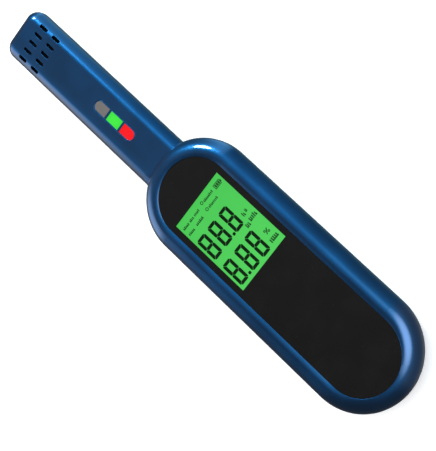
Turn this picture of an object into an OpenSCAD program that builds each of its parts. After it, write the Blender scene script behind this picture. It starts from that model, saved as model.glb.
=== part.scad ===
// Handheld breath alcohol tester: a round-ended body with a display window, and a long
// neck that carries the gas sensor behind a slotted grille.
// X runs across the body, Y runs along it towards the neck's tip, Z points out of the window.
// The origin is under the middle of the whole length, on the plane of the flat back.

/* [Body] */
// Length from the body's lower end to the neck's tip
total_l = 198.6; // [198:0.2:200]
// Length of the round-ended body
body_l = 121.2; // [118:0.2:126]
// Width of the body
body_w = 43.4; // [42:0.2:46]
// Radius of the edge that curves under to the flat back
rear_r = 12.5; // [12:0.1:13]
// Radius of the rounded rim round the window
rim_r = 5.36; // [5.2:0.01:5.5]
// Wall of both shells
wall = 1.8; // [1.5:0.1:2]

/* [Neck] */
// Width of the neck
neck_w = 20; // [19.6:0.2:21]
// How far the neck's face lies below the window's face
neck_step = 1.3; // [1:0.1:1.6]
// Radius of the neck's front edges
neck_front_r = 4; // [3.6:0.1:4.2]
// Radius of the neck's back edges
neck_back_r = 8.5; // [8:0.1:8.6]
// Radius of the tip's corners, seen from the front
tip_r = 4.6; // [4.4:0.1:6]
// Wall of the neck
neck_wall = 1.6; // [1.4:0.1:1.7]

/* [Window and display] */
// Width of the window
window_w = 29; // [28.8:0.1:29.2]
// Length of the window
window_l = 109.4; // [108:0.2:110]
// How far the window sits below the body's middle
window_drop = 1; // [0:0.5:1.5]
// Thickness of the window
window_t = 1.2; // [1:0.1:1.3]
// Width of the picture area of the display
view_w = 24.1; // [22:0.1:24.2]
// Length of the picture area of the display
view_l = 33.6; // [30:0.1:34]
// Middle of the picture area, above the window's middle
view_up = 22.9; // [20:0.1:24]

/* [Indicator and grille] */
// Middle of the indicator bar, above the window's middle
bar_up = 83.8; // [80:0.1:86]
// Length of one indicator segment
segment_l = 6; // [5:0.1:6.2]
// Width of the indicator bar
bar_w = 3.8; // [3:0.1:4]
// Gap between the indicator segments
segment_gap = 1; // [0.8:0.1:1.4]
// Middle of the upper row of slots, below the neck's tip
slots_down = 9.9; // [9.6:0.1:10.4]
// Distance between the two rows of slots
slot_rows = 6.7; // [6:0.1:7]
// Distance between slots in a row
slot_pitch = 3.5; // [3.2:0.1:3.6]
// Length of a slot
slot_l = 4; // [3:0.1:4.2]
// Width of a slot
slot_w = 1.25; // [1:0.05:1.3]

/* [Power button] */
// Length of the button along the body
button_l = 11; // [9:0.5:12]
// Height of the button
button_h = 3.8; // [3:0.1:4]
// Middle of the button, measured along the body from the body's middle
button_up = 20; // [17:1:22]
// How far the button can be pressed
button_travel = 0.5; // [0.3:0.1:0.5]

/* [Hidden] */
$fn = 48;
eps = 0.01;

// Places along the length
tip_y = total_l / 2;
body_y = -tip_y + body_l / 2;             // body's middle
neck_y = body_y + body_l / 2;             // where the neck leaves the body
body_half = body_l / 2 - body_w / 2;      // half of the straight part
window_y = body_y - window_drop;
window_half = window_l / 2 - window_w / 2;
view_y = window_y + view_up;
bar_y = window_y + bar_up;
slots_y = tip_y - slots_down - slot_rows / 2;   // middle of the grille
button_y = body_y + button_up;

// Levels
part_z = rear_r;                          // the shells meet here
window_z = part_z + 5;                    // window's face
neck_z = window_z - neck_step;            // neck's face
neck_back_z = 3;
tape_t = 0.1;
lens_z = window_z - window_t;             // window's underside
pocket_z = lens_z - tape_t;
floor_t = 1.3;
ceiling_z = pocket_z - floor_t;           // inside of the front shell
neck_ceiling_z = neck_z - neck_wall;
board_t = 1.6;
board_z = 10;                             // underside of the main board
board_top_z = board_z + board_t;
neck_board_t = 1.2;
neck_board_z = 8.4;                       // underside of the neck's board
neck_board_top_z = neck_board_z + neck_board_t;

// Fasteners
case_spots = [[-12, body_y + 43.9], [12, body_y + 43.9], [-11, body_y - 46.6], [11, body_y - 46.6]];
neck_spot = [0, neck_y + 40.8];
board_spots = [[-15.4, body_y - 3], [15.4, body_y - 3], [-9, body_y - 34], [9, body_y - 34]];
neck_board_spots = [[0, neck_y + 51.3], [0, neck_y + 8.9]];
post_foot_z = 6;                          // where the posts of the two shells meet
screw_seat_z = 3.4;                       // where a case screw's head bears, in the body
neck_seat_z = 4.8;                        // and in the neck
screw_d = 2;
screw_l = 8;
board_screw_d = 1.6;
fit = 0.01;                               // radial clearance of a screw in its pilot hole

// ---------------------------------------------------------------- shared shapes

// Half of the body's cross-section, from the middle outwards, drawn inset from the outside.
module body_half_section(inset) {
    rim_x = body_w / 2 - rim_r;
    rear_x = body_w / 2 - rear_r;
    intersection() {
        translate([rear_x, part_z]) circle(rear_r - inset);
        translate([0, 0]) square([body_w, part_z]);
    }
    translate([0, inset]) square([rear_x, part_z - inset]);
    intersection() {
        translate([rim_x, part_z]) circle(rim_r - inset);
        translate([window_w / 2 + inset, part_z]) square([body_w, body_w]);
    }
    if (inset < 1.1)
        translate([0, part_z - eps]) square([window_w / 2 + inset + eps, 5 - inset + eps]);
    else {
        translate([0, part_z - eps]) square([rim_x, ceiling_z - part_z + eps]);
        intersection() {
            translate([rim_x, part_z]) circle(rim_r - inset);
            translate([0, part_z - eps]) square([body_w, ceiling_z - part_z + eps]);
        }
    }
}

// Carries a half section round the outline of a round-ended bar.
module round_ended(half_straight) {
    for (s = [-1, 1])
        translate([0, s * half_straight, 0])
            rotate([0, 0, s > 0 ? 0 : 180])
                rotate_extrude(angle = 180) children();
    rotate([90, 0, 0])
        linear_extrude(2 * half_straight, center = true) {
            children();
            mirror([1, 0]) children();
        }
}

module body_solid(inset) {
    translate([0, body_y, 0]) round_ended(body_half) body_half_section(inset);
}

// Half of a rectangle, from x = 0 to x1 and z0 to z1, with an upper corner of radius ru
// and a lower corner of radius rl.
module corner_half(x1, z0, z1, ru, rl) {
    polygon([[0, z0], [x1 - rl, z0], [x1, z0 + rl], [x1, z1 - ru], [x1 - ru, z1], [0, z1]]);
    intersection() {
        translate([x1 - ru, z1 - ru]) circle(ru);
        translate([0, z1 - ru]) square([x1, ru]);
    }
    intersection() {
        translate([x1 - rl, z0 + rl]) circle(rl);
        translate([0, z0]) square([x1, rl]);
    }
}

module rounded_rect(half_w, z0, z1, ru, rl) {
    corner_half(half_w, z0, z1, ru, rl);
    mirror([1, 0]) corner_half(half_w, z0, z1, ru, rl);
}

// The neck, inset from the outside, from from_y up to the tip. Its section runs along Y, its
// side view runs along X, and a quarter turn of the edge makes each corner of the tip.
module neck_solid(inset, from_y) {
    half_w = neck_w / 2 - inset;
    top = neck_z - inset;
    foot = neck_back_z + inset;
    end_y = tip_y - inset;
    front_r = neck_front_r - inset;
    back_r = neck_back_r - inset;
    turn_r = tip_r - inset;
    turn_x = neck_w / 2 - tip_r;
    turn_y = tip_y - tip_r;
    difference() {
        intersection() {
            translate([0, end_y, 0])
                rotate([90, 0, 0])
                    linear_extrude(end_y - from_y)
                        rounded_rect(half_w, foot, top, front_r, back_r);
            rotate([90, 0, 90])
                linear_extrude(neck_w + 2, center = true)
                    corner_half(end_y, foot, top, front_r, back_r);
        }
        for (s = [-1, 1])
            translate([s > 0 ? turn_x : -turn_x - 20, turn_y, -1]) cube([20, 20, 30]);
    }
    for (s = [-1, 1])
        translate([s * turn_x, turn_y, 0])
            rotate([0, 0, s > 0 ? 0 : 90])
                rotate_extrude(angle = 90)
                    intersection() {
                        translate([0, foot]) square([turn_r, top - foot]);
                        corner_half(turn_r, foot, top, front_r, back_r);
                    }
}

module hollow() {
    body_solid(wall);
    neck_solid(neck_wall, neck_y - 10);
}

module outside(inset = 0) {
    body_solid(inset);
    neck_solid(inset, neck_y - 8);
}

module slab(z0, z1) {
    translate([-40, -tip_y - 5, z0]) cube([80, total_l + 10, z1 - z0]);
}

// Upright round-ended prism.
module obround(w, l, z0, z1) {
    translate([0, 0, z0])
        linear_extrude(z1 - z0) {
            square([w, l - w], center = true);
            for (s = [-1, 1]) translate([0, s * (l - w) / 2]) circle(w / 2);
        }
}

module block(x, y, z0, w, l, h) {
    translate([x - w / 2, y - l / 2, z0]) cube([w, l, h]);
}

module tube(z0, z1, outer_d, inner_d) {
    translate([0, 0, z0])
        difference() {
            cylinder(h = z1 - z0, d = outer_d);
            translate([0, 0, -1]) cylinder(h = z1 - z0 + 2, d = inner_d);
        }
}

module at(spots) {
    for (s = spots) translate([s[0], s[1], 0]) children();
}

// Round-ended bar that lies along Y on the left flank, from x0 to x1.
module flank_bar(l, h, x0, x1) {
    translate([x0, button_y, button_z])
        rotate([90, 0, 90])
            linear_extrude(x1 - x0) {
                square([l - h, h], center = true);
                for (s = [-1, 1]) translate([s * (l - h) / 2, 0]) circle(h / 2);
            }
}

// ---------------------------------------------------------------- shells

module grille_slots(z0, z1) {
    for (row = [-0.5, 0.5], column = [-2 : 2])
        translate([column * slot_pitch, slots_y + row * slot_rows, 0])
            obround(slot_w, slot_l, z0, z1);
}

bar_l = 3 * segment_l + 2 * segment_gap;
bar_rim = 0.4;                            // width of the black frame round the segments

module lap(low, high, clearance) {
    intersection() {
        difference() {
            outside(1 + clearance);
            hollow();
        }
        slab(low, high);
    }
}

module front_shell() color("#1f4f93") {
    difference() {
        union() {
            difference() {
                intersection() {
                    outside();
                    slab(part_z, part_z + 20);
                }
                hollow();
            }
            at(case_spots) tube(post_foot_z, ceiling_z + 0.4, 5, screw_d + 2 * fit);
            at([neck_spot]) tube(post_foot_z, neck_ceiling_z + 0.4, 4.6, screw_d + 2 * fit);
            at(board_spots) tube(board_top_z, ceiling_z + 0.4, 3.6, board_screw_d + 2 * fit);
            at(neck_board_spots)
                tube(neck_board_top_z, neck_ceiling_z + 0.4, 3.6, board_screw_d + 2 * fit);
        }
        // window pocket
        translate([0, window_y, 0]) obround(window_w + 0.1, window_l + 0.1, pocket_z, window_z + 5);
        display_opening(ceiling_z - 1, 5);
        // indicator bar and grille
        translate([0, bar_y, 0])
            obround(bar_w + 2 * bar_rim + 0.1, bar_l + 2 * bar_rim + 0.1, neck_ceiling_z - 1, window_z);
        grille_slots(neck_ceiling_z - 2, window_z + 1);
        // step that takes the rear shell's lip
        lap(part_z - 1, part_z + 1.3, -0.05);
    }
}

module screw_well(seat_z) {
    translate([0, 0, -1]) cylinder(h = post_foot_z + 2, d = 2.4);
    translate([0, 0, -1]) cylinder(h = seat_z + 1, d = 4.2);
}

module battery_rib(x, y, w, l) {
    block(x, y, wall - 0.5, w, l, 3.2);
}

module rear_shell() color("#1b4787") {
    difference() {
        union() {
            difference() {
                intersection() {
                    outside();
                    slab(-1, part_z);
                }
                hollow();
            }
            lap(part_z - eps, part_z + 1.2, 0);
            intersection() {
                at(concat(case_spots, [neck_spot]))
                    translate([0, 0, 1]) cylinder(h = post_foot_z - 1.05, d = 6.4);
                outside(0.5);
            }
            // ribs that hold the battery
            for (s = [-1, 1], end = [-1, 1]) battery_rib(s * 12.4, battery_y + end * 18, 1, 6);
            for (s = [-1, 1]) battery_rib(s * 7, battery_y - battery_l / 2 - 0.9, 8, 1);
        }
        at(case_spots) screw_well(screw_seat_z);
        at([neck_spot]) screw_well(neck_seat_z);
        // mouth for the charging plug
        translate([0, -tip_y + 4, usb_z])
            rotate([90, 0, 0]) usb_outline(9.3, 3.56, 10);
        // sound holes under the buzzer
        translate([0, buzzer_y, -1])
            for (i = [0 : 5]) rotate([0, 0, 60 * i]) translate([2.2, 0, 0]) cylinder(h = 4, d = 1.2);
        flank_bar(button_l + 0.6, button_h + 0.6, -body_w / 2 - 2, -body_w / 2 + 5);
    }
}

// ---------------------------------------------------------------- window and display

glass_t = 1.1;
glass_w = view_w + 1.5;
glass_l = view_l + 4.8;
glass_y = view_y - 0.9;                   // the lower glass reaches past the upper one
glass_top_z = lens_z - 0.1;
glass_foot_z = glass_top_z - 2 * glass_t;

module display_opening(z, h) {
    block(0, glass_y, z, glass_w + 1.6, glass_l + 1.4, h);
}

module window_lens() color("#141416")
    translate([0, window_y, 0]) obround(window_w, window_l, lens_z, window_z);

module window_tape() color("#2a2a2a")
    difference() {
        translate([0, window_y, 0]) obround(window_w - 0.3, window_l - 0.3, pocket_z, lens_z);
        display_opening(pocket_z - 1, 3);
    }

module lcd_glass() color("#3fcf4f") {
    block(0, glass_y + 1.4, glass_top_z - glass_t, glass_w, glass_l - 2.8, glass_t);
    block(0, glass_y, glass_foot_z, glass_w, glass_l, glass_t + eps);
}

module lcd_backlight() color("#e8f5e0")
    block(0, glass_y + 0.9, board_top_z, glass_w - 0.2, glass_l - 4.2, glass_foot_z - 0.05 - board_top_z);

module lcd_frame() color("#202020")
    difference() {
        block(0, glass_y, board_top_z, glass_w + 1.2, glass_l + 1, 3.6);
        block(0, glass_y, board_top_z - 1, glass_w + 0.1, glass_l + 0.1, 6);
    }

module zebra_strip() color("#c98fa0")
    block(0, glass_y - glass_l / 2 + 1.1, board_top_z, 24, 1.8, glass_foot_z - board_top_z);

module backlight_leds() color("#f4f4e4")
    for (s = [-1, 1])
        block(s * 7, glass_y + glass_l / 2 - 0.6, board_top_z, 2.6, 0.9, 1.1);

// ---------------------------------------------------------------- main board

module main_board() color("#1f6b3a")
    difference() {
        translate([0, body_y - 0.2, 0]) obround(35, 113, board_z, board_top_z);
        at(case_spots) translate([0, 0, board_z - 1]) cylinder(h = 4, d = 5.6);
        at(board_spots) translate([0, 0, board_z - 1]) cylinder(h = 4, d = board_screw_d + 0.3);
    }

mcu_y = body_y + 30;
module microcontroller() color("#26262a") {
    block(0, mcu_y, board_z - 1.5, 10, 10, 1.4);
    for (turn = [0 : 90 : 270], i = [-4 : 4])
        translate([0, mcu_y, 0])
            rotate([0, 0, turn])
                translate([4.9, i - 0.16, board_z - 0.9]) cube([1.3, 0.32, 0.9]);
}

module board_chips() color("#2b2b2f") {
    block(-9, body_y + 12, board_z - 1.5, 5, 6, 1.5);
    block(10.5, mcu_y - 2, board_z - 1.5, 4, 5, 1.5);
    block(0, body_y - 46, board_z - 1.2, 3, 3, 1.2);
}

module small_parts() color("#b79a6a") {
    for (i = [0 : 5]) block(-8 + 2.6 * i, mcu_y - 8, board_z - 0.6, 0.9, 1.6, 0.6);
    for (i = [0 : 3]) block(8 + 2 * i, mcu_y + 4.5, board_z - 0.6, 0.9, 1.6, 0.6);
    for (s = [-1, 1], i = [0 : 2]) block(s * 6.6, body_y - 49 + 2.4 * i, board_z - 0.6, 1.6, 0.9, 0.6);
    block(11.5, body_y + 12, board_z - 2.2, 5, 5, 2.2);
}

module crystal() color("#c4c8cc")
    translate([-10.2, mcu_y - 1, board_z - 3.4]) {
        translate([0, -3.2, 0]) cylinder(h = 3.4, d = 4.4);
        translate([0, 3.2, 0]) cylinder(h = 3.4, d = 4.4);
        translate([-2.2, -3.2, 0]) cube([4.4, 6.4, 3.4]);
    }

buzzer_y = body_y + 42.2;
module buzzer() color("#17171a")
    translate([0, buzzer_y, board_z - 4])
        difference() {
            cylinder(h = 4, d = 9);
            translate([0, 0, -1]) cylinder(h = 2.4, d = 1.6);
        }

// ---------------------------------------------------------------- charging socket

usb_z = board_z - 1.63;
usb_mouth_y = -tip_y + 1.7;
module usb_outline(w, h, l) {
    linear_extrude(l) {
        square([w - h, h], center = true);
        for (s = [-1, 1]) translate([s * (w - h) / 2, 0]) circle(h / 2);
    }
}

module usb_socket_shell() color("#c9ccd0")
    translate([0, usb_mouth_y, usb_z]) {
        difference() {
            rotate([-90, 0, 0]) usb_outline(8.94, 3.26, 7.35);
            translate([0, -1, 0]) rotate([-90, 0, 0]) usb_outline(8.34, 2.66, 9.4);
        }
        // legs that are soldered through the board
        for (s = [-1, 1], y = [3.2, 6.6])
            translate([s * 4.32 - 0.15, y - 0.4, 0]) cube([0.3, 0.8, board_z - usb_z]);
    }

module usb_socket_tongue() color("#1c1c1e")
    translate([0, usb_mouth_y, usb_z]) {
        translate([0, 6.45, 0])
            rotate([-90, 0, 0]) usb_outline(8.32, 2.64, 0.9);
        translate([-3.35, 0.7, -0.35]) cube([6.7, 5.8, 0.7]);
    }

// ---------------------------------------------------------------- power button

button_z = board_z - 1.1;
button_face_x = -body_w / 2;
flange_x = -body_w / 2 + 3.5;
flange_t = 0.8;
switch_x = -body_w / 2 + 6.3;             // outer face of the switch
plunger_w = 2.6;
plunger_h = 1.4;

module switch_body() color("#b9bcc0")
    difference() {
        translate([switch_x, button_y - 3, board_z - 2.2]) cube([3, 6, 2.2]);
        translate([switch_x - 1, button_y - plunger_w / 2 - 0.1, button_z - plunger_h / 2 - 0.1])
            cube([1 + 0.9 + button_travel, plunger_w + 0.2, plunger_h + 0.2]);
    }

module switch_plunger() color("#26262a")
    translate([switch_x - 0.9, button_y - plunger_w / 2, button_z - plunger_h / 2])
        cube([1.6, plunger_w, plunger_h]);

module power_button() color("#173f7c") {
    difference() {
        flank_bar(button_l, button_h, button_face_x, flange_x + eps);
        // softened edge round the face
        for (s = [-1, 1])
            translate([button_face_x, button_y, button_z + s * button_h / 2])
                rotate([0, 45, 0]) cube([0.6, button_l + 2, 0.6], center = true);
    }
    // flange behind the wall, kept clear of the board above
    translate([flange_x, button_y - button_l / 2 - 1.2, button_z - 1.6])
        cube([flange_t, button_l + 2.4, 2.4]);
    // post that meets the switch
    translate([flange_x + flange_t - eps, button_y - 1, button_z - 0.6])
        cube([switch_x - 0.9 - flange_x - flange_t + eps, 2, 1.2]);
}

// ---------------------------------------------------------------- battery

battery_y = body_y - 18.5;
battery_l = 46;
battery_w = 23;
battery_t = 5.4;
battery_z = 2.4;
module battery_cell() color("#c7cace") {
    // soft-sided pouch with rounded long edges
    translate([0, battery_y + battery_l / 2, 0])
        rotate([90, 0, 0])
            linear_extrude(battery_l)
                rounded_rect(battery_w / 2, battery_z, battery_z + battery_t, 1.8, 1.8);
    // sealed top flap
    block(0, battery_y + battery_l / 2 + 1.4, battery_z + 0.6, battery_w - 3, 2.8, 0.4);
}

module battery_guard_board() color("#2f7a46")
    block(0, battery_y + battery_l / 2 + 1.5, battery_z + 1.1, battery_w - 5, 2.6, 1);

lead_d = 1.1;
lead_r = 2.4;                             // radius of the bend
lead_end = 0.8;                           // straight piece under the plug
lead_y = battery_y + battery_l / 2 + 2.8;
lead_z = battery_z + 1.6;
plug_y = lead_y + 0.4 + lead_r;
plug_z = lead_z + lead_r + lead_end;
module battery_leads() color("#b3261e")
    for (s = [-1, 1])
        translate([s * 1.1, lead_y, lead_z]) {
            rotate([-90, 0, 0]) cylinder(h = 0.4, d = lead_d);
            translate([0, 0.4, lead_r])
                rotate([90, 0, 90])
                    rotate([0, 0, -90])
                        rotate_extrude(angle = 90) translate([lead_r, 0]) circle(d = lead_d);
            translate([0, 0.4 + lead_r, lead_r]) cylinder(h = lead_end, d = lead_d);
        }

module battery_plug() color("#f0efe8")
    block(0, plug_y, plug_z, 4.6, 3, 2.2);

module battery_socket() color("#e6e4d8")
    difference() {
        block(0, plug_y, board_z - 2.2, 6.2, 4.6, 2.2);
        block(0, plug_y, board_z - 3, 4.7, 3.1, plug_z + 2.25 - board_z + 3);
    }

module battery_tape() color("#3c3c40")
    block(0, battery_y, wall, 16, 38, battery_z - wall);

// ---------------------------------------------------------------- neck

module neck_board() color("#1f6b3a")
    difference() {
        translate([-7, neck_y + 2.8, neck_board_z])
            cube([14, sensor_y + 7.5 - neck_y - 2.8, neck_board_t]);
        at([neck_spot]) translate([0, 0, neck_board_z - 1]) cylinder(h = 4, d = 5.2);
        at(neck_board_spots)
            translate([0, 0, neck_board_z - 1]) cylinder(h = 4, d = board_screw_d + 0.3);
    }

sensor_y = slots_y - 0.5;
sensor_foot_z = neck_board_top_z + 0.8;   // top of the sensor's base
sensor_top_z = neck_ceiling_z - 0.9;
module sensor_base() color("#3a2a22")
    translate([0, sensor_y, neck_board_top_z]) cylinder(h = sensor_foot_z - neck_board_top_z, d = 9.6);

module sensor_cap() color("#b8bbbf")
    translate([0, sensor_y, 0])
        difference() {
            translate([0, 0, sensor_foot_z]) cylinder(h = sensor_top_z - sensor_foot_z, d = 9.2);
            translate([0, 0, sensor_foot_z - 1]) cylinder(h = sensor_top_z - sensor_foot_z + 0.7, d = 8.6);
            translate([0, 0, sensor_top_z - 1])
                for (i = [0 : 5]) rotate([0, 0, 60 * i]) translate([2.6, 0, 0]) cylinder(h = 2, d = 1.4);
            translate([0, 0, sensor_top_z - 1]) cylinder(h = 2, d = 1.4);
        }

module sensor_pins() color("#d8c27a")
    for (i = [0 : 5])
        translate([0, sensor_y, neck_board_z - 1.2])
            rotate([0, 0, 60 * i + 30])
                translate([3.4, 0, 0]) cylinder(h = 1.2, d = 0.7);

module sensor_gasket() color("#1d1d1f")
    translate([0, sensor_y, 0])
        difference() {
            block(0, 0, neck_board_top_z, 12.6, 14.6, neck_ceiling_z - neck_board_top_z - 0.3);
            translate([0, 0, neck_board_top_z - 1]) cylinder(h = 10, d = 9.9);
            block(0, 0, sensor_top_z - 0.6, 10.8, 11.4, 5);
        }

module vent_mesh() color("#101012")
    block(0, slots_y, neck_ceiling_z - 0.22, 12.4, 12.8, 0.2);

module bar_slot(w, l, z0, z1) {
    translate([0, bar_y, 0]) obround(w, l, z0, z1);
}

module indicator_cell(index, clearance) {
    intersection() {
        bar_slot(bar_w + 2 * clearance, bar_l + 2 * clearance, 0, window_z);
        block(0, bar_y + index * (segment_l + segment_gap), 0,
              bar_w + 1, segment_l + 2 * clearance, window_z);
    }
}

bezel_foot_z = neck_ceiling_z - 1.1;
module indicator_bezel() color("#101010")
    difference() {
        union() {
            bar_slot(bar_w + 2 * bar_rim, bar_l + 2 * bar_rim, bezel_foot_z, neck_z);
            bar_slot(bar_w + 4, bar_l + 2.6, bezel_foot_z, neck_ceiling_z - 0.02);
        }
        for (i = [-1 : 1]) indicator_cell(i, 0.02);
    }

module indicator_lens(index) {
    intersection() {
        indicator_cell(index, 0);
        slab(neck_board_top_z + 1.2, neck_z);
    }
}

module indicator_lens_grey() color("#77736e") indicator_lens(1);
module indicator_lens_green() color("#43f04a") indicator_lens(0);
module indicator_lens_red() color("#ff1f2a") indicator_lens(-1);

module indicator_leds() color("#efeee0")
    for (i = [-1 : 1])
        block(0, bar_y + i * (segment_l + segment_gap), neck_board_top_z, 2.6, 3, 1.1);

module light_divider() color("#161618")
    difference() {
        bar_slot(bar_w + 3, bar_l + 1.6, neck_board_top_z, bezel_foot_z - 0.02);
        for (i = [-1 : 1]) indicator_cell(i, 0.02);
    }

// ---------------------------------------------------------------- ribbon and fasteners

ribbon_w = 7.2;
ribbon_t = 0.5;
ribbon_y0 = neck_y - 8.7;                 // end in the main board's socket
ribbon_y1 = neck_y + 4.5;                 // end in the neck board's socket
ribbon_steps = 12;
// The flat cable's underside, seen from the side: two level ends joined by a smooth step.
ribbon_line = [for (i = [0 : ribbon_steps])
    [ribbon_y1 + (ribbon_y0 - ribbon_y1) * i / ribbon_steps,
     neck_board_z - 2.1 + (board_z - neck_board_z) * (0.5 - 0.5 * cos(180 * i / ribbon_steps))]];
module neck_ribbon() color("#8d9096")
    rotate([90, 0, 90])
        linear_extrude(ribbon_w, center = true)
            polygon(concat(ribbon_line,
                           [for (i = [ribbon_steps : -1 : 0]) ribbon_line[i] + [0, ribbon_t]]));

// Socket under a board, open towards +Y when side is 1 and towards -Y when it is -1.
module ribbon_socket(y, z, side) {
    difference() {
        block(0, y, z - 2.4, ribbon_w + 2, 4.4, 2.4);
        block(0, y + side * 1.5, z - 2.2, ribbon_w + 0.04, 3.2, 0.8);
    }
}
module ribbon_sockets() color("#d9d2b8") {
    ribbon_socket(ribbon_y1 + 0.5, neck_board_z, -1);
    ribbon_socket(ribbon_y0 - 0.5, board_z, 1);
}

module pan_screw(seat_z, l, d, head_d, head_h) {
    difference() {
        union() {
            translate([0, 0, seat_z]) cylinder(h = l - d / 2, d = d);
            translate([0, 0, seat_z + l - d / 2]) cylinder(h = d / 2, d1 = d, d2 = d * 0.3, $fn = 32);
            translate([0, 0, seat_z - head_h]) cylinder(h = head_h, d = head_d);
        }
        for (turn = [0, 90])
            rotate([0, 0, turn])
                translate([-head_d * 0.3, -head_h * 0.15, seat_z - head_h - 1])
                    cube([head_d * 0.6, head_h * 0.3, 1 + head_h * 0.55]);
    }
}

module case_screws() color("#8f9296") {
    at(case_spots) pan_screw(screw_seat_z, screw_l, screw_d, 3.8, 1.5);
    at([neck_spot]) pan_screw(neck_seat_z, screw_l, screw_d, 3.8, 1.5);
}

module board_screws() color("#a5a8ac") {
    at(board_spots) pan_screw(board_z, 3.8, board_screw_d, 2.8, 1);
    at(neck_board_spots) pan_screw(neck_board_z, 3.8, board_screw_d, 2.8, 1);
}

// ---------------------------------------------------------------- assembly

front_shell();
rear_shell();
window_lens();
window_tape();
lcd_glass();
lcd_backlight();
lcd_frame();
zebra_strip();
backlight_leds();
main_board();
microcontroller();
board_chips();
small_parts();
crystal();
buzzer();
usb_socket_shell();
usb_socket_tongue();
switch_body();
switch_plunger();
power_button();
battery_cell();
battery_guard_board();
battery_leads();
battery_plug();
battery_socket();
battery_tape();
neck_board();
sensor_base();
sensor_cap();
sensor_pins();
sensor_gasket();
vent_mesh();
indicator_bezel();
indicator_lens_grey();
indicator_lens_green();
indicator_lens_red();
indicator_leds();
light_divider();
neck_ribbon();
ribbon_sockets();
case_screws();
board_screws();
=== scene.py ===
# %% [markdown]
# # A handheld breath tester
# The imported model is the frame: every body, node and joint already stands where it belongs,
# in metres, with the flat back on z = 0, the neck along +Y and the window facing +Z.
# This lesson gives that frame its finishes, prints the display, and lights it like a
# product on a pale table. Nothing from the frame is moved or remeshed.

# %% Load the frame
import bpy
import bmesh
import math
import random
from mathutils import Vector, Matrix


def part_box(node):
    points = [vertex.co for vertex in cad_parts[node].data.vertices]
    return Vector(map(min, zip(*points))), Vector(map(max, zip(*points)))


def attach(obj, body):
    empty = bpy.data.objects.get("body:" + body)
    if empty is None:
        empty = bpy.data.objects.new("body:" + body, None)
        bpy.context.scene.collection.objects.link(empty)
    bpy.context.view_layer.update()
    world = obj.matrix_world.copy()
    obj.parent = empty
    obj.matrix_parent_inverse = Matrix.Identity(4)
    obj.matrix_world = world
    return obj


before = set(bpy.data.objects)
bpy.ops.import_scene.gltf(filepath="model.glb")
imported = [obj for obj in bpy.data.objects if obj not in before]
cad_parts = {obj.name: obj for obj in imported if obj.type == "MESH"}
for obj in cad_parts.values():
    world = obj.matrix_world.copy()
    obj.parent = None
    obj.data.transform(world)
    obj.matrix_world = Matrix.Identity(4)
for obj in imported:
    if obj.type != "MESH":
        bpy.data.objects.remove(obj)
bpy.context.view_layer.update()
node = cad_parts

# %% [markdown]
# Shader nodes are easier to read as sums. `Value` wraps one output socket, so that
# `mask * 0.5 + 0.2` adds the Math nodes by itself. Colours go through Mix and Vector Math
# nodes instead, because a Math node would turn them grey.


# %% Shader expressions
class Value:
    """One output socket of a node tree, with arithmetic."""

    def __init__(self, tree, socket):
        self.tree = tree
        self.socket = socket

    def node(self, kind, settings=None, **inputs):
        """Adds a node of that type: settings first, then its inputs by name or by _number."""
        made = self.tree.nodes.new(kind)
        for key, val in (settings or {}).items():
            setattr(made, key, val)
        for key, val in inputs.items():
            plug(self.tree, find_input(made, key), val)
        return made

    def math(self, operation, *values):
        made = self.node("ShaderNodeMath", {"operation": operation})
        for socket, val in zip(made.inputs, values):
            plug(self.tree, socket, val)
        return Value(self.tree, made.outputs[0])

    def __add__(self, other):
        return self.math("ADD", self, other)

    def __sub__(self, other):
        return self.math("SUBTRACT", self, other)

    def __rsub__(self, other):
        return self.math("SUBTRACT", other, self)

    def __mul__(self, other):
        return self.math("MULTIPLY", self, other)

    def __truediv__(self, other):
        return self.math("DIVIDE", self, other)

    def __rtruediv__(self, other):
        return self.math("DIVIDE", other, self)

    def __abs__(self):
        return self.math("ABSOLUTE", self)

    def __gt__(self, other):
        return self.math("GREATER_THAN", self, other)

    def __lt__(self, other):
        return self.math("LESS_THAN", self, other)

    __radd__ = __add__
    __rmul__ = __mul__

    def most(self, other):
        return self.math("MAXIMUM", self, other)

    def least(self, other):
        return self.math("MINIMUM", self, other)

    def wave(self, period):
        """0 to 1 and back once per period."""
        return self.math("SINE", self * (2 * math.pi / period)) * 0.5 + 0.5

    def smooth(self, low, high, to_low=0.0, to_high=1.0):
        """Smooth step from to_low at low to to_high at high."""
        made = self.node("ShaderNodeMapRange", {"interpolation_type": "SMOOTHSTEP"},
                         Value=self, From_Min=low, From_Max=high, To_Min=to_low, To_Max=to_high)
        return Value(self.tree, made.outputs[0])


def find_input(made, key):
    """The enabled input of that name: an underscore is a space, and _0 is the first input."""
    if key[0] == "_" and key[1:].isdigit():
        return made.inputs[int(key[1:])]
    wanted = key.replace("_", " ")
    return next(s for s in made.inputs if s.name == wanted and s.enabled)


def plug(tree, socket, val):
    """Links a Value or a socket, or sets a number, a vector or a colour."""
    if isinstance(val, Value):
        tree.links.new(val.socket, socket)
    elif isinstance(val, bpy.types.NodeSocket):
        tree.links.new(val, socket)
    elif socket.type == "RGBA" and len(val) == 3:
        socket.default_value = (*val, 1.0)
    else:
        socket.default_value = val


print("operators ready")


# %% [markdown]
# Every finish starts the same way: a Principled shader with its constants set straight on the
# sockets, and the place on the part in metres. Because the place comes from the object's own
# coordinates, a pattern has a real size and needs no unwrapping. Noise is asked for by the
# size of one blotch in millimetres, which is how one would describe it at the bench.


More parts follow.
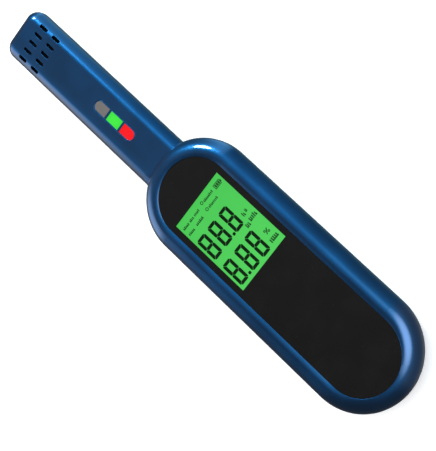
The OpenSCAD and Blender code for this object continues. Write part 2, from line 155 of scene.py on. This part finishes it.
# %% Start of a finish
class Finish:
    """A new material with its Principled shader; every finish below is one of these."""

    def __init__(self, name, **constants):
        self.mat = bpy.data.materials.new(name)
        self.mat.use_nodes = True
        self.tree = self.mat.node_tree
        self.shader = next(n for n in self.tree.nodes if n.type == "BSDF_PRINCIPLED")
        self.set(**constants)
        coords = self.tree.nodes.new("ShaderNodeTexCoord")
        self.place = Value(self.tree, coords.outputs["Object"])
        split = self.place.node("ShaderNodeSeparateXYZ", _0=self.place)
        self.x, self.y, self.z = (Value(self.tree, s) for s in split.outputs)

    def set(self, **inputs):
        for key, val in inputs.items():
            plug(self.tree, find_input(self.shader, key), val)

    def blotch(self, millimetres, detail=2.0, stretch=None):
        """Noise from 0 to 1 whose blotches are about that size."""
        where = self.place
        if stretch:
            made = where.node("ShaderNodeVectorMath", {"operation": "MULTIPLY"},
                              _0=where, _1=stretch)
            where = Value(self.tree, made.outputs[0])
        made = where.node("ShaderNodeTexNoise", None, Vector=where,
                          Scale=1000.0 / millimetres, Detail=detail)
        return Value(self.tree, made.outputs[0])

    def specks(self, millimetres):
        """Distance to the nearest of many scattered points, 0 at a point."""
        made = self.place.node("ShaderNodeTexVoronoi", None, Vector=self.place,
                               Scale=1000.0 / millimetres)
        return Value(self.tree, made.outputs["Distance"])

    def mix(self, factor, a, b):
        """From colour a at 0 to colour b at 1."""
        made = self.place.node("ShaderNodeMix", {"data_type": "RGBA"}, Factor=factor, A=a, B=b)
        return Value(self.tree, next(s for s in made.outputs if s.enabled))

    def relief(self, height, millimetres, edge_mm=0.0):
        """Bump whose full height is that many millimetres, over edges softened by edge_mm."""
        made = self.place.node("ShaderNodeBump", None, Height=height, Strength=1.0,
                               Distance=millimetres / 1000)
        if edge_mm:
            soft = self.place.node("ShaderNodeBevel", {"samples": 6}, Radius=edge_mm / 1000)
            plug(self.tree, made.inputs["Normal"], soft.outputs[0])
        self.set(Normal=made.outputs[0])

    def onto(self, *names):
        """Puts the finish on CAD nodes or on made pieces."""
        for name in names:
            mesh = (node.get(name) or bpy.data.objects[name]).data
            mesh.materials.clear()
            mesh.materials.append(self.mat)
        print(self.mat.name, "->", ", ".join(names))


print("finish helper ready")

# %% [markdown]
# ## The shell's paint
# The two shells, the button and the surround of the indicator are sprayed in one metallic
# blue under a clear lacquer. A diffuse blue would look like toy plastic: in real metallic
# paint the flakes are small mirrors, so flats that face the dark room go deep navy and
# rounded edges that face a lamp glow cyan. So the base is fully metallic and fairly rough,
# and the coat on top is smooth and gives the small white glints. Flake sparkle, a little
# orange peel, and edges rounded by the paint's own film finish it. The neck's face is
# crowned towards its left edge, by less than a millimetre. That is too little to be worth
# curving a face for, but it turns the reflections, so it is added to the bump.

# %% Metallic blue
neck_foot_y = 0.0217
crown_edge_x = -0.001
crown_radius = 0.0357
paint = Finish("metallic_blue", Metallic=1.0, Coat_Weight=1.0, Coat_Roughness=0.06,
               Coat_IOR=1.75)
flake = paint.blotch(0.25, 3.0)
cloud = paint.blotch(14.0, 2.0)
tone = flake * 0.5 + cloud * 0.5
paint.set(Base_Color=paint.mix(tone, (0.006, 0.105, 0.31), (0.013, 0.155, 0.43)),
          Roughness=cloud.smooth(0.3, 0.7, 0.28, 0.33) + flake * 0.03)
peel = paint.blotch(2.2, 1.0)
beyond_edge = (paint.x - crown_edge_x).least(0.0)
crown_mm = (paint.y > neck_foot_y) * beyond_edge * beyond_edge * (-500 / crown_radius)
paint.relief(crown_mm + peel * 0.003 + flake * 0.0006, 1.0, edge_mm=0.3)
paint.onto("front_shell", "rear_shell", "power_button", "indicator_bezel")

# %% [markdown]
# ## The window
# The window is one clear sheet, printed black everywhere but over the display. Glass and
# print could be two pieces, but the node is one solid, so the print is made in the
# material: Alpha is 1 on the printed area and 0 in the clear rectangle. The sharp edge of
# the print is on the top face; on the underside the clear area is let out by a wall's
# thickness, so that a slanting look doesn't meet a second, darker border.

# %% Window print
glass_low, glass_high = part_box("lcd_glass")
lens_low, lens_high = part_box("window_lens")
print("glass:", [round(v * 1000, 2) for v in (*glass_low, *glass_high)])
print("lens, underside and top:", [round(v * 1000, 2) for v in (lens_low.z, lens_high.z)])

contact_strip = 0.0007      # the glass's foot carries its contacts, so the lit area sits higher
view_half = Vector((0.01215, 0.017))
view_mid = Vector((0.0, (glass_low.y + glass_high.y) / 2 + contact_strip))
let_out = 0.0012            # how much wider the clear area is on the underside
underside = 0.0003          # up to this height above the lens's lowest point
skin = 0.00002

window = Finish("window_black", Specular_IOR_Level=0.3)
spread = (window.z < lens_low.z + underside) * let_out
beyond_x = abs(window.x) > spread + view_half.x
beyond_y = abs(window.y - view_mid.y) > spread + view_half.y
side = (window.z > lens_low.z + skin) * (window.z < lens_high.z - skin)
dust = window.specks(2.6) < 0.045
grime = window.blotch(9.0, 3.0)
window.set(Base_Color=window.mix(dust * 0.06, (0.008, 0.0073, 0.007), (0.3, 0.3, 0.3)),
           Roughness=grime.smooth(0.35, 0.7, 0.1, 0.22),
           Alpha=beyond_x.most(beyond_y).most(side))
window.onto("window_lens")

# %% [markdown]
# ## The display glass
# Behind the window sits a green, backlit liquid crystal. It gives its own light, so Emission
# Color carries its green; a little unevenness, brighter at the foot where the lamps of the
# light guide sit, keeps it from looking like a flat sticker.

# %% Display glass
lcd = Finish("display_green", Base_Color=(0.004, 0.014, 0.005), Roughness=0.3,
             Specular_IOR_Level=0.2, Emission_Strength=1.0)
along = (lcd.y - glass_low.y) / (glass_high.y - glass_low.y)
uneven = lcd.blotch(9.0, 2.0) * 0.5 + along.smooth(1.0, 0.0) * 0.5
column_pitch = 0.0002
grid = lcd.x.wave(column_pitch) * 0.04
lcd.set(Emission_Color=lcd.mix(uneven + grid, (0.062, 0.545, 0.082), (0.088, 0.65, 0.108)))
lcd.onto("lcd_glass")

# %% [markdown]
# ## The display's segments
# The digits are areas of the liquid crystal, flat and very thin. They could be a texture, but
# an outline in geometry stays sharp at any zoom and is kept in the exported mesh. So each is
# a prism a few hundredths of a millimetre high, lying on the glass in the gap below the
# window. `Plate` collects such outlines into one mesh.


# %% Thin plates
class Plate:
    """Flat outlines on the display, in millimetres from the middle of the lit area."""

    thickness = 0.00004

    def __init__(self):
        self.mesh = bmesh.new()

    def outline(self, points):
        """A thin prism, just clear of the glass."""
        low = glass_high.z + skin
        ends = []
        for height in (low, low + self.thickness):
            ends.append([self.mesh.verts.new((view_mid.x + x / 1000, view_mid.y + y / 1000, height))
                         for x, y in points])
        bottom, top = ends
        self.mesh.faces.new(top)
        self.mesh.faces.new(bottom[::-1])
        for i in range(len(points)):
            j = (i + 1) % len(points)
            self.mesh.faces.new((bottom[i], bottom[j], top[j], top[i]))

    def bar(self, x0, y0, x1, y1):
        self.outline([(x0, y0), (x1, y0), (x1, y1), (x0, y1)])

    def dot(self, x0, y0, x1, y1, cut):
        """A rectangle with its corners cut off."""
        self.outline([(x0 + cut, y0), (x1 - cut, y0), (x1, y0 + cut), (x1, y1 - cut),
                      (x1 - cut, y1), (x0 + cut, y1), (x0, y1 - cut), (x0, y0 + cut)])

    def ring(self, x, y, outer, inner, sides=16):
        turn = 2 * math.pi / sides
        for i in range(sides):
            a, b = i * turn, (i + 1) * turn
            self.outline([(x + outer * math.cos(a), y + outer * math.sin(a)),
                          (x + outer * math.cos(b), y + outer * math.sin(b)),
                          (x + inner * math.cos(b), y + inner * math.sin(b)),
                          (x + inner * math.cos(a), y + inner * math.sin(a))])

    def finish(self, name):
        bmesh.ops.recalc_face_normals(self.mesh, faces=self.mesh.faces)
        mesh = bpy.data.meshes.new(name)
        self.mesh.to_mesh(mesh)
        self.mesh.free()
        made = bpy.data.objects.new(name, mesh)
        bpy.context.scene.collection.objects.link(made)
        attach(made, "housing")
        print(name, "faces:", len(mesh.polygons))


print("plate helper ready")


# %% [markdown]
# One seven-segment figure: four uprights and three bars, mitred where they meet with a fine
# gap, and with the outer corners cut off. Mirroring one quarter keeps them all alike.


# %% Seven segments
def figure(plate, left, right, foot, head):
    """A figure of strokes t wide, with gaps g between them and corners cut by c, in mm."""
    t, g, c = 1.22, 0.06, 0.7
    half = (right - left) / 2
    tall = (head - foot) / 2
    mid_x, mid_y = (left + right) / 2, (foot + head) / 2
    top = [(-half + c, tall), (half - c, tall), (half - c / 2 - g, tall - c / 2),
           (half - t - g, tall - t), (-half + t + g, tall - t),
           (-half + c / 2 + g, tall - c / 2)]
    upright = [(half, tall - c), (half - c / 2, tall - c / 2 - g), (half - t, tall - t - g),
               (half - t, t / 2 + g), (half - t / 2, g), (half - t * 0.2, g), (half, t * 0.35)]
    middle = [(half - t / 2 - g, 0), (half - t - g, t / 2), (-half + t + g, t / 2),
              (-half + t / 2 + g, 0), (-half + t + g, -t / 2), (half - t - g, -t / 2)]
    for flip in (1, -1):
        plate.outline([(mid_x + x, mid_y + flip * y) for x, y in top])
        for turn in (1, -1):
            plate.outline([(mid_x + turn * x, mid_y + flip * y) for x, y in upright])
    plate.outline([(mid_x + x, mid_y + y) for x, y in middle])


digits = Plate()
for left, right in ((-11.7, -7.2), (-5.6, -1.15), (0.85, 5.3)):
    figure(digits, left, right, -2.0, 7.8)
for left, right in ((-11.7, -7.3), (-5.05, -0.7), (0.95, 5.35)):
    figure(digits, left, right, -15.2, -5.15)
digits.dot(-0.55, -1.9, 0.55, -0.8, 0.15)
digits.dot(-6.75, -15.05, -5.65, -13.95, 0.15)
digits.finish("display_digits")

# %% [markdown]
# ## The display's legends
# Above the digits and beside them run small printed legends. Wording is left out on purpose:
# short groups of upright strokes of uneven height stand in its place, with two rings, a
# battery gauge and a percent sign, which any instrument may carry. A seeded random number
# varies the strokes, so the drawing is the same on every run.

# %% Legends
legends = Plate()
dice = random.Random(4)


def strokes(left, right, base, tall, wide=0.62):
    """A run of upright strokes, standing in for a word."""
    count = max(2, round((right - left) / wide))
    pitch = (right - left) / count
    for i in range(count):
        x = left + i * pitch
        high = tall * dice.choice((0.74, 0.82, 1.0))
        legends.bar(x, base, x + pitch * 0.62, base + high)
        if dice.random() < 0.6:
            legends.bar(x + pitch * 0.62, base + 0.02, x + pitch * 0.92, base + 0.3 * tall)


for left, right, base in ((-11.6, -8.4, 13.95), (-7.9, -5.7, 13.95), (-5.2, -2.3, 14.0),
                          (1.0, 6.1, 14.35), (-11.6, -8.5, 11.05), (-7.1, -3.2, 11.15),
                          (0.8, 5.7, 11.5)):
    strokes(left, right, base, 1.05)
strokes(6.9, 8.1, -0.5, 1.7)
strokes(8.6, 9.5, 0.0, 1.7)
strokes(4.9, 6.8, -4.2, 1.8)
strokes(7.4, 11.1, -3.6, 1.95, 0.74)
strokes(6.9, 10.9, -14.4, 2.1, 0.8)
legends.ring(0.0, 15.1, 0.66, 0.38)
legends.ring(-0.25, 12.15, 0.66, 0.38)
print("legend strokes drawn")

# %% [markdown]
# The battery gauge is a frame with a cap and three full cells. The percent sign is a slanting
# bar between two small rings.

# %% Gauge and percent sign
legends.bar(7.2, 13.75, 10.5, 14.0)
legends.bar(7.2, 15.45, 10.5, 15.7)
legends.bar(7.2, 14.0, 7.45, 15.45)
legends.bar(10.25, 14.0, 10.5, 15.45)
legends.bar(10.5, 14.3, 10.9, 15.15)
for x in (7.66, 8.52, 9.38):
    legends.bar(x, 14.15, x + 0.68, 15.3)
legends.outline([(7.75, -11.0), (8.25, -11.0), (9.6, -9.1), (9.1, -9.1)])
legends.ring(8.05, -9.55, 0.48, 0.18, 12)
legends.ring(9.35, -10.6, 0.48, 0.18, 12)
legends.finish("display_legends")

# %% [markdown]
# A driven crystal blocks the light behind it and looks black with a trace of green. The
# legends are so fine that light leaks round them, so their finish glows very slightly.

# %% Ink of the segments
ink = Finish("crystal_dark", Roughness=0.35, Specular_IOR_Level=0.2)
ink.set(Base_Color=ink.mix(ink.blotch(1.2), (0.001, 0.006, 0.0012), (0.003, 0.012, 0.003)))
ink.onto("display_digits")
faint = Finish("crystal_faint", Roughness=0.35, Specular_IOR_Level=0.2, Emission_Strength=1.0)
faint.set(Base_Color=faint.mix(faint.blotch(0.8), (0.004, 0.02, 0.005), (0.006, 0.03, 0.008)),
          Emission_Color=faint.mix(faint.blotch(0.8), (0.002, 0.02, 0.004), (0.005, 0.045, 0.008)))
faint.onto("display_legends")

# %% [markdown]
# ## The indicator's three lenses
# Three moulded acrylic lenses show the result. Two are lit: their colour is Emission Color,
# brightest over the lamp chip below the middle and duller at the ends. The third is off and
# shows only smoky acrylic.


# %% Lenses
def lit_lens(name, target, colour, dull):
    low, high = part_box(target)
    made = Finish(name, Roughness=0.3, Specular_IOR_Level=0.2, Emission_Strength=1.0,
                  Base_Color=tuple(0.04 * c for c in colour))
    off_x = (made.x - (low.x + high.x) / 2) * 1000
    off_y = (made.y - (low.y + high.y) / 2) * 1000
    away = off_x * off_x * 0.5 + off_y * off_y * 0.35
    haze = made.blotch(0.7, 2.0) * 0.35
    made.set(Emission_Color=made.mix(away.smooth(0.0, 4.5) + haze - 0.15, colour, dull))
    made.relief(made.blotch(1.1), 0.01, edge_mm=0.15)
    made.onto(target)


lit_lens("lens_green_lit", "indicator_lens_green", (0.06, 0.82, 0.06), (0.045, 0.7, 0.05))
lit_lens("lens_red_lit", "indicator_lens_red", (0.98, 0.012, 0.018), (0.88, 0.008, 0.012))
smoky = Finish("lens_smoky", Roughness=0.3)
smoky.set(Base_Color=smoky.mix(smoky.blotch(0.9), (0.115, 0.106, 0.1), (0.15, 0.138, 0.13)))
smoky.relief(smoky.blotch(1.1), 0.01, edge_mm=0.15)
smoky.onto("indicator_lens_grey")

# %% [markdown]
# ## Moulded black plastic, foam and mesh
# Parts that hold or shade others are black nylon: slightly grey, with a fine spark-eroded
# grain. The dust mesh under the slots is a woven cloth, so crossed sine waves make its
# threads. Its colour is black cloth darkened further, almost to nothing, as painted shade
# inside the slots, so that they read as holes.

# %% Blacks
black = Finish("black_nylon")
grain = black.blotch(0.18, 3.0)
black.set(Base_Color=black.mix(grain, (0.012, 0.012, 0.013), (0.03, 0.03, 0.032)),
          Roughness=grain.smooth(0.3, 0.7, 0.5, 0.68))
black.relief(grain, 0.012)
black.onto("lcd_frame", "buzzer", "usb_socket_tongue", "switch_plunger", "light_divider")

foam = Finish("black_foam_tape", Roughness=0.92)
cells = foam.specks(0.22)
foam.set(Base_Color=foam.mix(cells, (0.008, 0.008, 0.008), (0.035, 0.035, 0.036)))
foam.relief(cells, 0.04)
foam.onto("window_tape", "battery_tape")

cloth_and_slot_shade = Finish("dust_mesh_with_painted_shade", Roughness=0.85, Specular_IOR_Level=0.1)
threads = cloth_and_slot_shade.x.wave(0.00025).most(cloth_and_slot_shade.y.wave(0.00025))
# painted shade: the cloth's colour is pushed far below black nylon so the slots look shadowed
cloth_and_slot_shade.set(Base_Color=cloth_and_slot_shade.mix(threads, (0.0004, 0.0004, 0.0005), (0.0025, 0.0025, 0.003)))
cloth_and_slot_shade.relief(threads, 0.03)
cloth_and_slot_shade.onto("vent_mesh")

rubber = Finish("black_rubber")
bloom = rubber.blotch(1.5, 4.0)
rubber.set(Base_Color=rubber.mix(bloom, (0.01, 0.01, 0.01), (0.028, 0.027, 0.026)),
           Roughness=bloom.smooth(0.3, 0.7, 0.6, 0.8))
rubber.relief(rubber.blotch(0.3), 0.01)
rubber.onto("sensor_gasket")

# %% [markdown]
# ## Circuit boards
# Green solder mask over copper: where a track runs underneath the mask is lighter and stands
# a little proud. Two crossed square waves, bent by slow noise so that they don't look like a
# grid, give tracks of a real pitch, about a millimetre.

# %% Boards
board = Finish("board_green_mask", Coat_Weight=0.4, Coat_Roughness=0.12)
bend = board.blotch(7.0, 0.0) * 0.004
lanes = (board.x + bend).wave(0.0011) > 0.72
cross = (board.y + bend).wave(0.0013) > 0.78
zone = board.blotch(5.0, 0.0) > 0.5
tracks = (lanes * zone).most(cross * (1 - zone))
pad = board.specks(2.4) < 0.16
board.set(Base_Color=board.mix(pad, board.mix(tracks, (0.008, 0.06, 0.022), (0.02, 0.13, 0.045)),
                               (0.62, 0.6, 0.52)),
          Metallic=pad * 0.9, Roughness=board.blotch(1.2).smooth(0.3, 0.7, 0.3, 0.42))
board.relief(tracks.most(pad), 0.02)
board.onto("main_board", "neck_board", "battery_guard_board")

chip = Finish("chip_epoxy")
speckle = chip.blotch(0.12, 3.0)
chip.set(Base_Color=chip.mix(speckle, (0.014, 0.014, 0.015), (0.036, 0.036, 0.038)),
         Roughness=speckle.smooth(0.3, 0.7, 0.55, 0.75))
chip.relief(speckle, 0.008, edge_mm=0.08)
chip.onto("microcontroller", "board_chips")

tan = Finish("chip_ceramic")
marks = tan.blotch(1.3, 2.0)
tan.set(Base_Color=tan.mix(marks.smooth(0.4, 0.6), (0.33, 0.22, 0.12), (0.1, 0.08, 0.07)),
        Roughness=tan.blotch(0.2).smooth(0.3, 0.7, 0.35, 0.55))
tan.relief(tan.blotch(0.1), 0.006, edge_mm=0.06)
tan.onto("small_parts")

led = Finish("lamp_chip", Specular_IOR_Level=0.6)
phosphor = led.blotch(0.5, 2.0)
led.set(Base_Color=led.mix(phosphor.smooth(0.45, 0.6), (0.85, 0.83, 0.78), (0.8, 0.62, 0.16)),
        Roughness=phosphor.smooth(0.3, 0.7, 0.25, 0.45))
led.onto("backlight_leds", "indicator_leds")

# %% [markdown]
# ## Bare metal
# The socket, the sensor's cap and the crystal's can are drawn or folded from bright sheet.
# Rolling leaves long fine scratches along one direction: noise that is stretched thirty
# times along Y. The sensor's cap, its pins and the screws are drawn along Z, so theirs are
# stretched that way.


# %% Metals
def sheet_metal(name, dark, light, stretch):
    made = Finish(name, Metallic=1.0)
    brush = made.blotch(0.12, 3.0, stretch=stretch)
    stain = made.blotch(3.0, 3.0)
    made.set(Base_Color=made.mix(brush * 0.6 + stain * 0.4, dark, light),
             Roughness=brush.smooth(0.25, 0.75, 0.2, 0.36))
    made.relief(brush, 0.004, edge_mm=0.08)
    return made


sheet_metal("bright_sheet", (0.4, 0.41, 0.42), (0.66, 0.67, 0.68), (1.0, 0.03, 1.0)).onto(
    "usb_socket_shell", "switch_body", "crystal")
sheet_metal("drawn_cap", (0.42, 0.42, 0.41), (0.64, 0.63, 0.61), (1.0, 1.0, 0.05)).onto(
    "sensor_cap")
sheet_metal("screw_plate", (0.3, 0.3, 0.31), (0.52, 0.52, 0.54), (1.0, 1.0, 0.2)).onto(
    "case_screws", "board_screws")
sheet_metal("gold_pin", (0.55, 0.4, 0.14), (0.78, 0.6, 0.26), (1.0, 1.0, 0.1)).onto("sensor_pins")

# %% [markdown]
# ## Battery, leads and connectors
# The pouch is aluminium foil under clear film, creased where it was vacuum sealed. Insulated
# wire is soft PVC, red on one side of the plug and black on the other. Connectors are
# unfilled ivory nylon that lets a little light through.

# %% Battery and connectors
foil = Finish("pouch_foil", Metallic=0.9, Coat_Weight=0.5, Coat_Roughness=0.2)
crease = foil.blotch(2.6, 4.0)
foil.set(Base_Color=foil.mix(crease, (0.42, 0.43, 0.44), (0.66, 0.67, 0.69)),
         Roughness=crease.smooth(0.3, 0.7, 0.3, 0.5))
foil.relief(crease, 0.12)
foil.onto("battery_cell")

leads_low, leads_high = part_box("battery_leads")
wire = Finish("wire_skin", Roughness=0.42)
red_side = wire.x > (leads_low.x + leads_high.x) / 2
scuff = wire.blotch(0.6, 2.0)
wire.set(Base_Color=wire.mix(red_side, wire.mix(scuff, (0.01, 0.01, 0.01), (0.03, 0.03, 0.03)),
                             wire.mix(scuff, (0.42, 0.015, 0.012), (0.55, 0.03, 0.022))))
wire.relief(scuff, 0.01)
wire.onto("battery_leads")

ivory = Finish("ivory_nylon", Specular_IOR_Level=0.45)
flow = ivory.blotch(1.8, 3.0)
ivory.set(Base_Color=ivory.mix(flow, (0.66, 0.6, 0.46), (0.78, 0.73, 0.6)),
          Roughness=flow.smooth(0.3, 0.7, 0.38, 0.52))
ivory.relief(ivory.blotch(0.25), 0.006, edge_mm=0.08)
ivory.onto("battery_plug", "battery_socket", "ribbon_sockets")

# %% [markdown]
# ## The last inner parts
# The ribbon is a row of tinned conductors in white film; the strip under the display is
# layered pink silicone, one conducting layer every two tenths of a millimetre; the light
# guide is milky acrylic; the sensor's base is dark pressed resin.

# %% Ribbon, strip, guide, base
ribbon = Finish("ribbon_film", Coat_Weight=0.3, Coat_Roughness=0.25)
wires = ribbon.x.wave(0.0005) > 0.55
ribbon.set(Base_Color=ribbon.mix(wires, (0.62, 0.63, 0.62), (0.4, 0.4, 0.41)),
           Metallic=wires * 0.5, Roughness=ribbon.blotch(0.8).smooth(0.3, 0.7, 0.4, 0.5))
ribbon.relief(wires, 0.02)
ribbon.onto("neck_ribbon")

strip = Finish("layered_silicone", Roughness=0.7)
layers = strip.x.wave(0.0002) > 0.5
strip.set(Base_Color=strip.mix(layers, (0.6, 0.24, 0.28), (0.03, 0.03, 0.03)))
strip.relief(strip.blotch(0.4), 0.01)
strip.onto("zebra_strip")

guide = Finish("milky_guide", Roughness=0.4, Emission_Strength=0.6)
dots = guide.specks(0.6) < 0.22
guide.set(Base_Color=guide.mix(dots, (0.72, 0.8, 0.68), (0.88, 0.92, 0.84)),
          Emission_Color=guide.mix(dots, (0.3, 0.8, 0.25), (0.5, 0.95, 0.4)))
guide.onto("lcd_backlight")

resin = Finish("pressed_resin")
fibre = resin.blotch(0.5, 4.0)
resin.set(Base_Color=resin.mix(fibre, (0.05, 0.026, 0.014), (0.11, 0.06, 0.03)),
          Roughness=fibre.smooth(0.3, 0.7, 0.45, 0.65))
resin.relief(fibre, 0.01)
resin.onto("sensor_base")

# %% [markdown]
# ## The table
# A plain pale surface under the back of the tester. It belongs to the stage, not to the
# object. Its lightness drifts a little so that it doesn't look like empty background.

# %% Table
reach = 4
mesh = bpy.data.meshes.new("table_top")
mesh.from_pydata([(-reach, -reach, 0), (reach, -reach, 0), (reach, reach, 0),
                  (-reach, reach, 0)], [], [(0, 1, 2, 3)])
table = bpy.data.objects.new("table_top", mesh)
bpy.context.scene.collection.objects.link(table)
table.location.z = -0.0002
pale = Finish("pale_table", Roughness=0.85, Specular_IOR_Level=0.1)
drift = pale.blotch(120.0, 2.0)
pale.set(Base_Color=pale.mix(drift, (0.9, 0.9, 0.9), (0.94, 0.94, 0.94)), Emission_Strength=0.4,
         Emission_Color=pale.mix(drift, (0.97, 0.97, 0.97), (1.0, 1.0, 1.0)))
mesh.materials.append(pale.mat)
table.visible_glossy = False
print("table ready")

# %% [markdown]
# ## The camera
# A long lens, from above and a little to the right of the foot, rolled so that the tester
# lies from the upper left to the lower right. The roll is an angle about the line of sight,
# so the camera's axes are built one after another: back, level, side, then turned.

# %% Camera
camera = bpy.data.objects.new("camera", bpy.data.cameras.new("camera"))
bpy.context.scene.collection.objects.link(camera)
camera.location = (0.15204, -0.20079, 0.50921)
aim = Vector((-0.00408, -0.00898, 0.009))
camera.data.lens = 127.13
camera.data.sensor_width = 36
camera.data.clip_start, camera.data.clip_end = 0.05, 20
back = (camera.location - aim).normalized()
level = (Vector((0, 1, 0)) - back * back.y).normalized()
side_way = level.cross(back)
roll = math.radians(46.553)
up = level * math.cos(roll) + side_way * math.sin(roll)
right = up.cross(back)
camera.rotation_mode = "QUATERNION"
camera.rotation_quaternion = Matrix((right, up, back)).transposed().to_quaternion()
bpy.context.scene.camera = camera
print("camera distance:", round((camera.location - aim).length, 3))

# %% [markdown]
# ## The light
# Glossy metallic paint shows the room more than the lamps' light, so the room is designed as
# one lights a product picture: dim overall, with soft bright parts where the rounded edges
# should glow. Those could be area lamps, but they have hard edges; the world's background
# can fade as softly as is wanted. The direction of a ray is split into across, ahead and
# rise, and smooth steps of those three make a lighter right half, a bright shoulder ahead on
# the right and a bright wall ahead on the left. One round panel, a smooth step of the cosine
# to its middle, lights the foot's rim. The right side ahead is a cooler white, like daylight.

# %% Room
world = bpy.data.worlds.new("studio")
bpy.context.scene.world = world
world.use_nodes = True
sky = world.node_tree
coords = sky.nodes.new("ShaderNodeTexCoord")
heading = Value(sky, coords.outputs["Generated"])
split = heading.node("ShaderNodeSeparateXYZ", _0=heading)
across, ahead, rise = (Value(sky, s) for s in split.outputs)


def panel(direction, radius, soft, brightness):
    """A round soft panel: full inside radius degrees, gone radius + soft degrees out."""
    made = heading.node("ShaderNodeVectorMath", {"operation": "DOT_PRODUCT"},
                        _0=heading, _1=Vector(direction).normalized())
    cosine = Value(sky, made.outputs["Value"])
    return cosine.smooth(math.cos(math.radians(radius + soft)), math.cos(math.radians(radius)),
                         0.0, brightness)


rightward = across.smooth(-0.35, 0.0)
shoulder = (ahead.smooth(0.4, 0.58) * across.smooth(0.15, 0.6)
            * (1 - ahead.smooth(0.62, 0.9) * 0.75))
leftward = across.smooth(-0.42, -0.68) * ahead.smooth(0.32, 0.5) * rise.smooth(-0.45, 0.1)
glow = 0.07 + rightward * (0.1 + rise.smooth(-0.2, 0.7) * 0.08)
glow = glow + (1 - rightward) * ahead.smooth(0.24, 0.4) * 0.08
glow = glow + shoulder * 0.95 + leftward * 1.2 + panel((0.34, -0.24, 0.9), 8, 26, 2.2)
backdrop = sky.nodes["Background"]
plug(sky, backdrop.inputs["Strength"], glow)
tint = heading.node("ShaderNodeMix", {"data_type": "RGBA"},
                    Factor=rightward * ahead.smooth(0.0, 0.3),
                    A=(0.96, 0.98, 1.0), B=(0.34, 0.8, 1.0))
plug(sky, backdrop.inputs["Color"], next(s for s in tint.outputs if s.enabled))
print("room ready")

# %% [markdown]
# Two lamps complete it: a small round one whose mirror image is the white glint on the rim
# where the neck leaves the body, and a wide one overhead that lights the table and the matt
# parts. The wide one is hidden from reflections, as if it were bounced off the ceiling, so
# that flat faces stay deep blue and the window stays black.


# %% Lamps
def lamp(name, direction, distance, wide, high, watts, seen=True):
    """A soft oval lamp that shines at the middle of the tester."""
    data = bpy.data.lights.new(name, "AREA")
    data.shape = "ELLIPSE"
    data.size, data.size_y = wide, high
    data.energy = watts
    made = bpy.data.objects.new(name, data)
    toward = Vector(direction).normalized()
    made.location = toward * distance
    made.rotation_mode = "QUATERNION"
    made.rotation_quaternion = toward.to_track_quat("Z", "Y")
    bpy.context.scene.collection.objects.link(made)
    made.visible_glossy = seen


lamp("glint", (0.29, 0.71, 0.64), 0.9, 0.26, 0.26, 3.0)
lamp("ceiling", (0.1, 0.1, 1.0), 1.8, 2.4, 2.4, 26, seen=False)
bpy.context.scene.view_settings.view_transform = "Standard"
print("lamps: 2")
